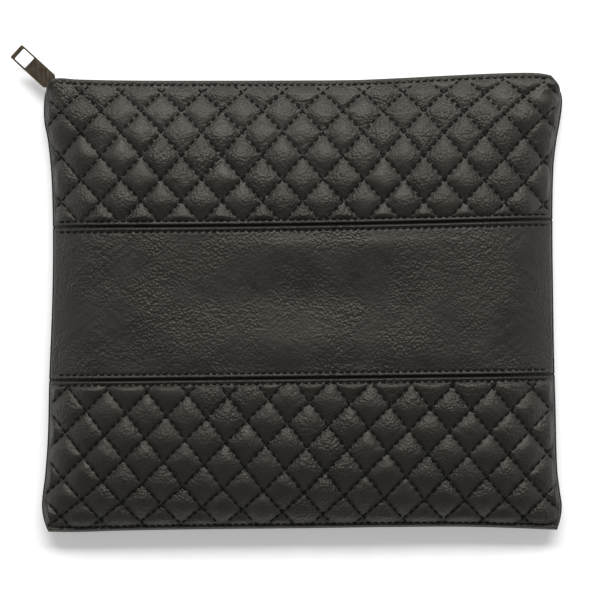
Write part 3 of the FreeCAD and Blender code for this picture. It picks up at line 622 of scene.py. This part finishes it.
# ==== materials ====
class Shader:
    """A small helper for node materials."""

    def __init__(self, name):
        self.material = bpy.data.materials.new(name)
        self.material.use_nodes = True
        self.tree = self.material.node_tree
        self.tree.nodes.clear()
        self.output = self.add("ShaderNodeOutputMaterial")
        self.principled = self.add("ShaderNodeBsdfPrincipled")
        self.link(self.principled.outputs["BSDF"], self.output.inputs["Surface"])
        self.place = self.add("ShaderNodeTexCoord").outputs["Object"]

    def add(self, kind, **settings):
        node = self.tree.nodes.new(kind)
        for key, value in settings.items():
            setattr(node, key, value)
        return node

    def link(self, source, target):
        self.tree.links.new(source, target)

    def feed(self, value, socket):
        """Gives an input a plain value, or links an output to it."""
        if hasattr(value, "is_linked"):
            self.link(value, socket)
        else:
            socket.default_value = value

    def set(self, **values):
        for key, value in values.items():
            self.principled.inputs[key.replace("_", " ")].default_value = value

    def texture(self, kind, scale, stretch=None, turn=0.0, **values):
        node = self.add(kind)
        for key, value in values.items():
            if key in node.inputs:
                node.inputs[key].default_value = value
            else:
                setattr(node, key, value)
        node.inputs["Scale"].default_value = scale
        source = self.place
        if stretch is not None or turn:
            mapping = self.add("ShaderNodeMapping")
            mapping.inputs["Scale"].default_value = stretch or (1, 1, 1)
            mapping.inputs["Rotation"].default_value = (0, 0, turn)
            self.link(self.place, mapping.inputs["Vector"])
            source = mapping.outputs["Vector"]
        self.link(source, node.inputs["Vector"])
        return node

    def ramp(self, source, stops):
        node = self.add("ShaderNodeValToRGB")
        elements = node.color_ramp.elements
        while len(elements) < len(stops):
            elements.new(0.5)
        for element, (position, colour) in zip(elements, stops):
            element.position = position
            element.color = (*colour, 1.0) if len(colour) == 3 else colour
        self.link(source, node.inputs["Fac"])
        return node.outputs["Color"]

    def math(self, operation, a, b):
        node = self.add("ShaderNodeMath", operation=operation)
        for socket, value in zip(node.inputs, (a, b)):
            self.feed(value, socket)
        return node.outputs["Value"]

    def map(self, source, low, high, to_low, to_high):
        node = self.add("ShaderNodeMapRange")
        for name, value in zip(("From Min", "From Max", "To Min", "To Max"), (low, high, to_low, to_high)):
            node.inputs[name].default_value = value
        self.link(source, node.inputs["Value"])
        return node.outputs["Result"]

    def bump(self, height, strength, distance, after=None):
        node = self.add("ShaderNodeBump")
        self.feed(strength, node.inputs["Strength"])
        node.inputs["Distance"].default_value = distance
        self.link(height, node.inputs["Height"])
        if after is not None:
            self.link(after, node.inputs["Normal"])
        return node.outputs["Normal"]


LEATHER_ROUGHNESS = (0.36, 0.48)  # of the smoothest and the roughest patches


def leather_material(name, dark, light):
    """Grained leather: pebbles, wrinkles that are stronger where the leather was worked, and fine pores."""
    shader = Shader(name)
    pebbles = shader.texture("ShaderNodeTexVoronoi", 760.0, feature="SMOOTH_F1", Smoothness=0.4)
    fine = shader.texture("ShaderNodeTexNoise", 2400.0, Detail=3.0, Roughness=0.6)
    drawn_out = (1.0, 0.3, 1.0)
    wrinkles = shader.texture("ShaderNodeTexNoise", 620.0, drawn_out, 0.9, Detail=3.0, Roughness=0.55)
    worked = shader.texture("ShaderNodeTexNoise", 38.0, Detail=2.0, Roughness=0.5)
    patches = shader.texture("ShaderNodeTexNoise", 55.0, Detail=4.0, Roughness=0.6)
    colour = shader.ramp(patches.outputs["Fac"], ((0.3, dark), (0.7, light)))
    shader.link(colour, shader.principled.inputs["Base Color"])
    patch_roughness = shader.map(patches.outputs["Fac"], 0.3, 0.7, *LEATHER_ROUGHNESS)
    crease_roughness = shader.map(pebbles.outputs["Distance"], 0.0, 0.6, 0.0, 0.16)
    rough = shader.math("ADD", patch_roughness, crease_roughness)
    shader.link(rough, shader.principled.inputs["Roughness"])
    grain_strength = shader.map(worked.outputs["Fac"], 0.38, 0.62, 0.18, 0.8)
    grain = shader.bump(pebbles.outputs["Distance"], grain_strength, -0.0006)
    wrinkle_strength = shader.map(worked.outputs["Fac"], 0.4, 0.65, 0.3, 0.6)
    drawn = shader.bump(wrinkles.outputs["Fac"], wrinkle_strength, 0.0006, grain)
    skin = shader.bump(fine.outputs["Fac"], 0.35, 0.00012, drawn)
    shader.link(skin, shader.principled.inputs["Normal"])
    shader.set(Specular_IOR_Level=0.5, Specular_Tint=(1.0, 0.96, 0.86, 1.0))
    return shader.material


def cloth_material(name, dark, light, scale, turn, sheen=0.2):
    """Woven cloth: two crossed sets of ribs, with some fuzz."""
    shader = Shader(name)
    ribs = shader.texture("ShaderNodeTexWave", scale, turn=turn, Distortion=0.6, Detail=1.0)
    cross = shader.texture("ShaderNodeTexWave", scale, turn=turn + math.pi / 2, Distortion=0.6, Detail=1.0)
    weave = shader.math("MULTIPLY", ribs.outputs["Fac"], cross.outputs["Fac"])
    shader.link(shader.ramp(weave, ((0.1, dark), (0.8, light))), shader.principled.inputs["Base Color"])
    shader.link(shader.bump(weave, 0.5, 0.00015), shader.principled.inputs["Normal"])
    shader.link(shader.map(weave, 0.0, 1.0, 0.95, 0.8), shader.principled.inputs["Roughness"])
    shader.set(Sheen_Weight=sheen, Specular_IOR_Level=0.25)
    return shader.material


def metal_material(name, dark, light, roughness):
    """Plated metal with faint brushing and worn, brighter patches."""
    shader = Shader(name)
    brushed = shader.texture("ShaderNodeTexNoise", 900.0, stretch=(1.0, 0.08, 1.0), turn=0.74, Detail=3.0)
    wear = shader.texture("ShaderNodeTexNoise", 260.0, Detail=5.0, Roughness=0.7)
    colour = shader.ramp(wear.outputs["Fac"], ((0.35, dark), (0.75, light)))
    shader.link(colour, shader.principled.inputs["Base Color"])
    rough = shader.map(brushed.outputs["Fac"], 0.3, 0.7, roughness - 0.06, roughness + 0.08)
    shader.link(rough, shader.principled.inputs["Roughness"])
    shader.link(shader.bump(brushed.outputs["Fac"], 0.12, 0.00004), shader.principled.inputs["Normal"])
    shader.set(Metallic=1.0)
    return shader.material


LEATHER_LOOK = leather_material("grained_leather", (0.0092, 0.0086, 0.0070), (0.0140, 0.0132, 0.0108))
THREAD_LOOK = cloth_material("black_thread", (0.001, 0.001, 0.001), (0.003, 0.003, 0.003), 1500.0, 0.5, 0.0)
LINING_LOOK = cloth_material("black_twill", (0.012, 0.012, 0.013), (0.035, 0.034, 0.036), 900.0, 0.78)
TAPE_LOOK = cloth_material("zip_tape_weave", (0.008, 0.008, 0.008), (0.028, 0.028, 0.029), 1100.0, 0.3)
WADDING_LOOK = cloth_material("wadding_fibre", (0.5, 0.49, 0.46), (0.78, 0.77, 0.73), 420.0, 0.2)
INTERLINING_LOOK = cloth_material("bonded_interlining", (0.05, 0.05, 0.05), (0.12, 0.12, 0.12), 700.0, 0.0)
ALLOWANCE_LOOK = leather_material("flesh_side_leather", (0.06, 0.052, 0.043), (0.1, 0.088, 0.074))
ZIP_METAL_LOOK = metal_material("zip_metal", (0.13, 0.12, 0.11), (0.34, 0.32, 0.29), 0.34)
SLIDER_LOOK = metal_material("slider_metal", (0.10, 0.09, 0.08), (0.26, 0.24, 0.21), 0.32)
# The puller's brown is a painted reflection: the plate is dark gunmetal, and the brown tint stands in for the
# brownish surroundings it reflects.
PULLER_LOOK = metal_material("puller_metal", (0.105, 0.083, 0.060), (0.21, 0.172, 0.128), 0.36)


# ==== leather panels ====
MESH_WIDTH = 245.0  # rough size of a panel, which sets how many faces its mesh has
PANELS = {  # each panel's lower and upper edges, and its rough length
    "upper_quilted_panel": (beside(upper_seam, PANEL_GAP / 2), top_edge, 68.0),
    "centre_band": (beside(lower_seam, PANEL_GAP / 2), beside(upper_seam, -PANEL_GAP / 2), 73.0),
    "lower_quilted_panel": (bottom_edge, beside(lower_seam, -PANEL_GAP / 2), 72.0),
}


def declare_panel(piece):
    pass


def make_leather(wall):
    for panel, (low, high, length) in PANELS.items():
        x, y = grid(low, high, spaced(MESH_WIDTH, wall.step), spaced(length, wall.step), wall=wall)
        outer = points_on(wall.outer, x, y)
        inner = points_on(wall.back_of_leather, x, y)
        node = wall.name + "_" + panel
        wall_piece(wall, node + "_skin", outer, inner, LEATHER_LOOK, node, declare_panel)


for wall in WALLS:
    make_leather(wall)


# ==== the strips that close the panel seams ====
STRIP_HALF_WIDTH = 1.6
STRIP_DEPTH = LEATHER + 0.05
STRIP_THICK = 0.7
STRIP_SIDE_INSET = 0.3
STRIP_LEAST = (0.3, 0.12)  # its faces keep this far from the middle plane


def seam_strips(wall):
    """The turned-in edges of two neighbouring panels, seen at the bottom of the gap between them."""
    sign = wall.sign

    def face(depth, least):
        def height(x, y):
            at = sign * (wall.smooth(x, y) - SEAM_Z) - depth
            return SEAM_Z + sign * np.maximum(at, least)

        return height

    for seam, word in ((upper_seam, "upper"), (lower_seam, "lower")):
        shares_x = np.linspace(0, 1, 241)
        shares_y = np.linspace(0, 1, 5)
        low, high = beside(seam, -STRIP_HALF_WIDTH), beside(seam, STRIP_HALF_WIDTH)
        x, y = grid(low, high, shares_x, shares_y, STRIP_SIDE_INSET, wall)
        outer = points_on(face(STRIP_DEPTH, STRIP_LEAST[0]), x, y)
        inner = points_on(face(STRIP_DEPTH + STRIP_THICK, STRIP_LEAST[1]), x, y)
        wall_piece(wall, wall.name + "_" + word + "_seam_strip", outer, inner, LEATHER_LOOK)


for wall in WALLS:
    seam_strips(wall)


# ==== stitches ====
QUILT_THREAD = (0.35, 0.12)  # radius, and how deep a stitch is sunk in the leather
TOP_THREAD = (0.40, 0.14)
STITCH_SIDES = 6
STITCH_STATIONS = (  # shares along a stitch, and its thickness there
    (-0.02, 0.25), (0.06, 0.8), (0.28, 1.0), (0.72, 1.0), (0.94, 0.8), (1.02, 0.25),
)
STITCH_DIP = 0.9  # its ends dip by this share of the radius
QUILT_STITCH_HALF = 0.38  # half of a stitch's length, as a share of its pitch
QUILT_STITCH_BORDER = 2.6  # no quilting stitch comes nearer to a panel's lower and upper edges
QUILT_STITCH_SIDE = 0.8
QUILT_STITCH_REACH = 124.0
TOPSTITCH_LENGTH = 0.7  # as a share of its pitch
TOPSTITCH_START = 0.32
TOPSTITCH_ROW = 236.0
TOPSTITCH_SIDE = 2.0


def stitch_piece(name, starts, ends, radius):
    """Many short threads, each a small rounded rod from a start to an end."""
    along = ends - starts
    length = np.linalg.norm(along, axis=1, keepdims=True)
    direction = along / length
    side = np.cross(direction, np.array([0.0, 0.0, 1.0]))
    side = side / np.linalg.norm(side, axis=1, keepdims=True)
    up = np.cross(side, direction)
    rings = []
    for share, size in STITCH_STATIONS:
        centre = starts + along * share - up * radius * STITCH_DIP * (2 * share - 1) ** 4
        for k in range(STITCH_SIDES):
            turn = 2 * math.pi * k / STITCH_SIDES
            rings.append(centre + (side * math.cos(turn) + up * math.sin(turn)) * radius * size)
    vertices = np.stack(rings, 1).reshape(-1, 3)
    last = (len(STITCH_STATIONS) - 1) * STITCH_SIDES
    quads = []
    for ring in range(0, last, STITCH_SIDES):
        for k in range(STITCH_SIDES):
            this, following = ring + k, ring + (k + 1) % STITCH_SIDES
            quads.append((this, this + STITCH_SIDES, following + STITCH_SIDES, following))
    for base, flip in ((0, False), (last, True)):
        for k in range(STITCH_SIDES // 2 - 1):
            corners = (base + k, base + k + 1, base + STITCH_SIDES - 2 - k, base + STITCH_SIDES - 1 - k)
            quads.append(corners[::-1] if flip else corners)
    first_vertex = np.arange(len(starts)) * (last + STITCH_SIDES)
    every = (np.array(quads)[None] + first_vertex[:, None, None]).reshape(-1, 4)
    return new_mesh(name, vertices, every, THREAD_LOOK)


def place_stitches(name, wall, x0, y0, x1, y1, thread):
    """Stitches between pairs of places, lying on a wall, as one piece or as the front's two halves."""
    radius, sink = thread
    starts = points_on(wall.outer, x0, y0)
    ends = points_on(wall.outer, x1, y1)
    for p in (starts, ends):
        p[:, 2] += wall.sign * (radius - sink)
        if wall.sign < 0:
            p[:, 2] = np.maximum(p[:, 2], radius + 0.02)
    if wall.sign < 0:
        piece = stitch_piece(name, starts, ends, radius)
        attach(piece, "back_wall")
        return
    left = (x0 + x1) < 0
    for side, word, chosen in ((-1, "left", left), (1, "right", ~left)):
        piece = stitch_piece(name + "_" + word, starts[chosen], ends[chosen], radius)
        lift_with_front(piece, side)


def quilt_stitches(wall, word):
    """Stitches along both families of lines that cross a wall's upper or lower quilted panel."""
    low, high, _ = PANELS[word + "_quilted_panel"]
    upper = word == "upper"
    sets = []
    rows = [row for _, row in (UPPER_ROWS if upper else LOWER_ROWS)]
    stitch = QUILT_STITCH / QUILT_LINE
    lines, places = np.meshgrid(np.arange(-14, 15), np.arange(-64, 64), indexing="ij")
    every_line = lines.ravel().astype(float)
    every_run = (places.ravel() + 0.5) * stitch
    for family in (0, 1):
        row = (every_line - every_run) * (1 if family == 0 else -1)
        inside = (row > min(rows)) & (row < max(rows))
        line, run = every_line[inside], every_run[inside]
        ends = []
        for place in (run - QUILT_STITCH_HALF * stitch, run + QUILT_STITCH_HALF * stitch):
            x, y = quilt_point(line, place, upper) if family == 0 else quilt_point(place, line, upper)
            ends += [x * wall.sign, y]
        sets.append(ends)
    x0, y0, x1, y1 = (np.concatenate(part) for part in zip(*sets))
    inside = np.ones(len(x0), bool)
    for x, y in ((x0, y0), (x1, y1)):
        inside &= (y > low(x) + QUILT_STITCH_BORDER) & (y < high(x) - QUILT_STITCH_BORDER)
        inside &= (wall.side(x, y) > QUILT_STITCH_SIDE) & (np.abs(x) < QUILT_STITCH_REACH)
    name = wall.name + "_" + word + "_quilt_stitches"
    place_stitches(name, wall, x0[inside], y0[inside], x1[inside], y1[inside], QUILT_THREAD)


def topstitches(wall):
    """The rows of topstitching along the mouth, the two panel seams and the hem."""
    count = int(TOPSTITCH_ROW / TOP_STITCH)
    x0 = np.arange(-count // 2, count // 2) * TOP_STITCH + TOPSTITCH_START * TOP_STITCH
    x1 = x0 + TOPSTITCH_LENGTH * TOP_STITCH
    parts = []
    for (y0, _), (y1, _) in zip(wall.topstitch_rows(x0), wall.topstitch_rows(x1)):
        keep = (wall.side(x0, y0) > TOPSTITCH_SIDE) & (wall.side(x1, y1) > TOPSTITCH_SIDE)
        parts.append((x0[keep], y0[keep], x1[keep], y1[keep]))
    x0, y0, x1, y1 = (np.concatenate(part) for part in zip(*parts))
    place_stitches(wall.name + "_topstitches", wall, x0, y0, x1, y1, TOP_THREAD)


for wall in WALLS:
    quilt_stitches(wall, "upper")
    quilt_stitches(wall, "lower")
    topstitches(wall)


# ==== inner layers ====
def declare_sheet(node):
    """Gives a declare step for a piece of cloth, which does nothing."""

    def declare(piece):
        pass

    return declare


WADDING_INSET = 6.5
WADDING_FROM_SEAM = 3.2
WADDING_FROM_MOUTH = 15.0
WADDING_FROM_HEM = 6.0
WADDING_LEAST = 0.25
INTERLINING_FROM_MOUTH = 1.5
LINING_FROM_ZIP = 0.5


def declare_wadding(piece):
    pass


def inner_layers(wall):
    """The waddings, the interlining and the lining of a wall."""
    sign = wall.sign

    def layer(name, low, high, inset, faces, material, declare):
        x, y = grid(low, high, np.linspace(0, 1, 121), np.linspace(0, 1, 61), inset)
        outer, inner = (points_on(face, x, y) for face in faces)
        node = wall.name + "_" + name
        wall_piece(wall, node + "_layer", outer, inner, material, node, declare)

    def under_leather(x, y):
        puff = wall.quilting(x, y) * wall.quilt_fade(x, y) * 0.9
        return wall.stitched(x, y) + sign * (puff - LEATHER - 0.3)

    def over_interlining(x, y):
        return wall.inner(x, y) + sign * 0.1

    def over_wadding(x, y):
        limit = over_interlining(x, y) + sign * WADDING_LEAST
        return sign * np.maximum(sign * under_leather(x, y), sign * limit)

    def under_interlining(x, y):
        return wall.inner(x, y) - sign * INTERLINING

    def under_lining(x, y):
        return wall.lining(x, y) - sign * LINING

    for name, low, high in (
        ("upper_wadding", beside(upper_seam, WADDING_FROM_SEAM), beside(top_edge, -WADDING_FROM_MOUTH)),
        ("lower_wadding", beside(bottom_edge, WADDING_FROM_HEM), beside(lower_seam, -WADDING_FROM_SEAM)),
    ):
        faces = (over_wadding, over_interlining)
        layer(name, low, high, WADDING_INSET, faces, WADDING_LOOK, declare_wadding)

    low, high = beside(bottom_edge, INTERLINING_INSET), beside(top_edge, -INTERLINING_FROM_MOUTH)
    faces = (wall.inner, under_interlining)
    declare = declare_sheet(wall.name + "_interlining")
    layer("interlining", low, high, INTERLINING_INSET, faces, INTERLINING_LOOK, declare)

    low, high = beside(bottom_edge, LINING_INSET), lambda x: np.full_like(x, ZIP_Y - LINING_FROM_ZIP)
    faces = (wall.lining, under_lining)
    declare = declare_sheet(wall.name + "_lining")
    layer("lining", low, high, LINING_INSET, faces, LINING_LOOK, declare)


for wall in WALLS:
    inner_layers(wall)


# ==== zip tapes and teeth ====
TAPE_HALF = 0.25  # half its thickness
TAPE_START = 1.1  # it starts this far from the middle plane, behind the teeth
TAPE_BEND = 2.0  # radius of its turn up along the wall, less where the slider needs the room
TAPE_LEAST_BEND = 0.4
TAPE_CLEAR = 0.35  # room beside the slider
TAPE_FROM_MOUTH = 1.7
SLIDER_HALF_WIDTH = (slider_high[2] - slider_low[2]) / 2
TOOTH_PITCH = 2.5
TOOTH_THICK = 1.15


def tape_grid(wall):
    """A tape's two faces: flat from the chain out to the wall, then turned up along it to the mouth."""
    sign = wall.sign
    outer, inner = [], []
    for x in np.linspace(tape_low[0], tape_high[0], 160):
        def reach(y):
            return abs(wall.inner(x, y) - sign * (LAYER_GAP + INTERLINING + TAPE_HALF) - SEAM_Z)

        wall_reach = reach(ZIP_Y + TAPE_BEND)
        bend = max(min(TAPE_BEND, wall_reach - SLIDER_HALF_WIDTH - TAPE_CLEAR), TAPE_LEAST_BEND)
        start = wall_reach - bend
        path = [(ZIP_Y, z) for z in np.linspace(TAPE_START, start, 6)]
        for t in np.linspace(0.15, 0.9, 6):
            turn = t * math.pi / 2
            path.append((ZIP_Y + bend * (1 - math.cos(turn)), start + bend * math.sin(turn)))
        path += [(y, reach(y)) for y in np.linspace(ZIP_Y + bend, top_edge(x) - TAPE_FROM_MOUTH, 6)]
        path = np.array(path, float)
        step = np.gradient(path, axis=0)
        step = step / np.linalg.norm(step, axis=1, keepdims=True)
        for line, way in ((outer, 1), (inner, -1)):
            y = path[:, 0] - way * step[:, 1] * TAPE_HALF
            z = path[:, 1] + way * step[:, 0] * TAPE_HALF
            line.append(np.stack([np.full(len(path), x), y, SEAM_Z + sign * z], -1))
    return np.array(outer), np.array(inner)


for wall in WALLS:
    outer, inner = tape_grid(wall)
    node = "zip_tape_" + wall.name
    wall_piece(wall, node + "_weave", outer, inner, TAPE_LOOK, node, declare_sheet(node))


def lifted_metal(name, mesh, node, side):
    """A piece of the front's zip, which stands for a CAD node and takes its place."""
    mesh.materials.clear()
    mesh.materials.append(ZIP_METAL_LOOK)
    piece = placed(name, mesh)
    lift_with_front(piece, side)
    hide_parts(node)


def half_of(source, side, limit):
    """A copy of a mesh with only what lies to one side of x = limit."""
    mesh = source.copy()
    shape = bmesh.new()
    shape.from_mesh(mesh)
    bmesh.ops.remove_doubles(shape, verts=shape.verts, dist=1e-7)
    gone = [v for v in shape.verts if (v.co.x - limit * MM) * side < 0]
    bmesh.ops.delete(shape, geom=gone, context="VERTS")
    shape.to_mesh(mesh)
    shape.free()
    return mesh


def front_zip_metal():
    """The front's row of teeth in two halves, parted between two teeth, and its top stop."""
    first_tooth = box_mm("zip_teeth_front")[0][0]
    teeth_left = round((0 - first_tooth) / TOOTH_PITCH) + 0.5
    limit = first_tooth + TOOTH_THICK / 2 + teeth_left * TOOTH_PITCH
    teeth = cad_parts["zip_teeth_front"].data
    for side, word in ((-1, "left"), (1, "right")):
        lifted_metal("zip_teeth_front_row_" + word, half_of(teeth, side, limit), "zip_teeth_front", side)
    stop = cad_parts["zip_top_stop_front"].data.copy()
    lifted_metal("zip_top_stop_front_metal", stop, "zip_top_stop_front", -1)


front_zip_metal()

# ==== finishes of the CAD nodes that stay ====
KEPT_NODES = (
    (ZIP_METAL_LOOK, ("zip_teeth_back", "zip_top_stop_back", "zip_bottom_stop")),
    (SLIDER_LOOK, ("slider_body", "slider_bail", "pull_link")),
    (PULLER_LOOK, ("puller_plate",)),
    (ALLOWANCE_LOOK, ("side_seam_left", "side_seam_right", "bottom_seam")),
)
for material, nodes in KEPT_NODES:
    for node in nodes:
        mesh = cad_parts[node].data
        mesh.materials.clear()
        mesh.materials.append(material)


# ==== floor, light and camera ====
FLOOR_GLOW = 0.3
FLOOR_SIZE = 4000.0
FLOOR_DROP = 0.0002  # in metres, below the pouch's underside
KEY_PLACE = (0.06, 0.9, 0.95)
KEY_SIZE = (1.6, 0.4)
KEY_POWER = 22.5
SKY_STOPS = ((0.45, 1.0), (0.92, 0.12))  # brightness by height, from the horizon to straight above
SKY_SIDES = (0.42, 0.55)  # and towards the hem and towards the mouth
LENS = 200.0
SENSOR = 36.0
VIEW_WIDTH = 0.288  # what the camera sees across, at VIEW_HEIGHT
VIEW_HEIGHT = 0.012
VIEW_CENTRE = (-0.0005, 0.00144)


def floor():
    """A pale table that glows a little, as a light table does."""
    shader = Shader("pale_floor")
    mottle = shader.texture("ShaderNodeTexNoise", 3.0, Detail=3.0)
    colour = shader.ramp(mottle.outputs["Fac"], ((0.3, (0.93, 0.93, 0.93)), (0.7, (0.95, 0.95, 0.95))))
    shader.link(colour, shader.principled.inputs["Base Color"])
    shader.set(Roughness=0.9, Specular_IOR_Level=0.1)
    shader.set(Emission_Color=(1, 1, 1, 1), Emission_Strength=FLOOR_GLOW)
    corners = [(-1, -1, 0), (1, -1, 0), (1, 1, 0), (-1, 1, 0)]
    plane = new_mesh("floor", np.array(corners) * FLOOR_SIZE, [(0, 1, 2, 3)], shader.material)
    plane.location.z = -FLOOR_DROP


def key_light():
    """A broad soft light beyond the mouth, which looks at the middle of the pouch."""
    light = bpy.data.lights.new("key_beyond_the_mouth", "AREA")
    light.shape = "RECTANGLE"
    light.size, light.size_y = KEY_SIZE
    light.energy = KEY_POWER
    lamp = placed("key_beyond_the_mouth", light)
    lamp.location = KEY_PLACE
    lamp.rotation_euler = (-Vector(KEY_PLACE)).to_track_quat("-Z", "Y").to_euler()


def sky():
    """The light from all round: bright near the horizon and towards the mouth, and dim straight above."""
    world = bpy.data.worlds.new("studio")
    bpy.context.scene.world = world
    world.use_nodes = True
    tree = world.node_tree
    background = tree.nodes["Background"]
    background.inputs["Color"].default_value = (1.0, 1.0, 1.0, 1.0)
    direction = tree.nodes.new("ShaderNodeTexCoord")
    parts = tree.nodes.new("ShaderNodeSeparateXYZ")
    height = tree.nodes.new("ShaderNodeValToRGB")
    side = tree.nodes.new("ShaderNodeMapRange")
    strength = tree.nodes.new("ShaderNodeMath")
    strength.operation = "MULTIPLY"
    for stop, (position, grey) in zip(height.color_ramp.elements, SKY_STOPS):
        stop.position = position
        stop.color = (grey, grey, grey, 1.0)
    for name, value in zip(("From Min", "From Max", "To Min", "To Max"), (-0.8, 0.8, *SKY_SIDES)):
        side.inputs[name].default_value = value
    tree.links.new(direction.outputs["Generated"], parts.inputs["Vector"])
    tree.links.new(parts.outputs["Z"], height.inputs["Fac"])
    tree.links.new(parts.outputs["Y"], side.inputs["Value"])
    tree.links.new(height.outputs["Color"], strength.inputs[0])
    tree.links.new(side.outputs["Result"], strength.inputs[1])
    tree.links.new(strength.outputs["Value"], background.inputs["Strength"])


def camera():
    """A long lens straight above the pouch, with the mouth at the top."""
    data = bpy.data.cameras.new("camera")
    data.lens = LENS
    data.sensor_width = SENSOR
    view = placed("camera", data)
    view.location = (*VIEW_CENTRE, VIEW_HEIGHT + VIEW_WIDTH * LENS / SENSOR)
    bpy.context.scene.camera = view


floor()
key_light()
sky()
camera()
bpy.context.scene.view_settings.view_transform = "Standard"
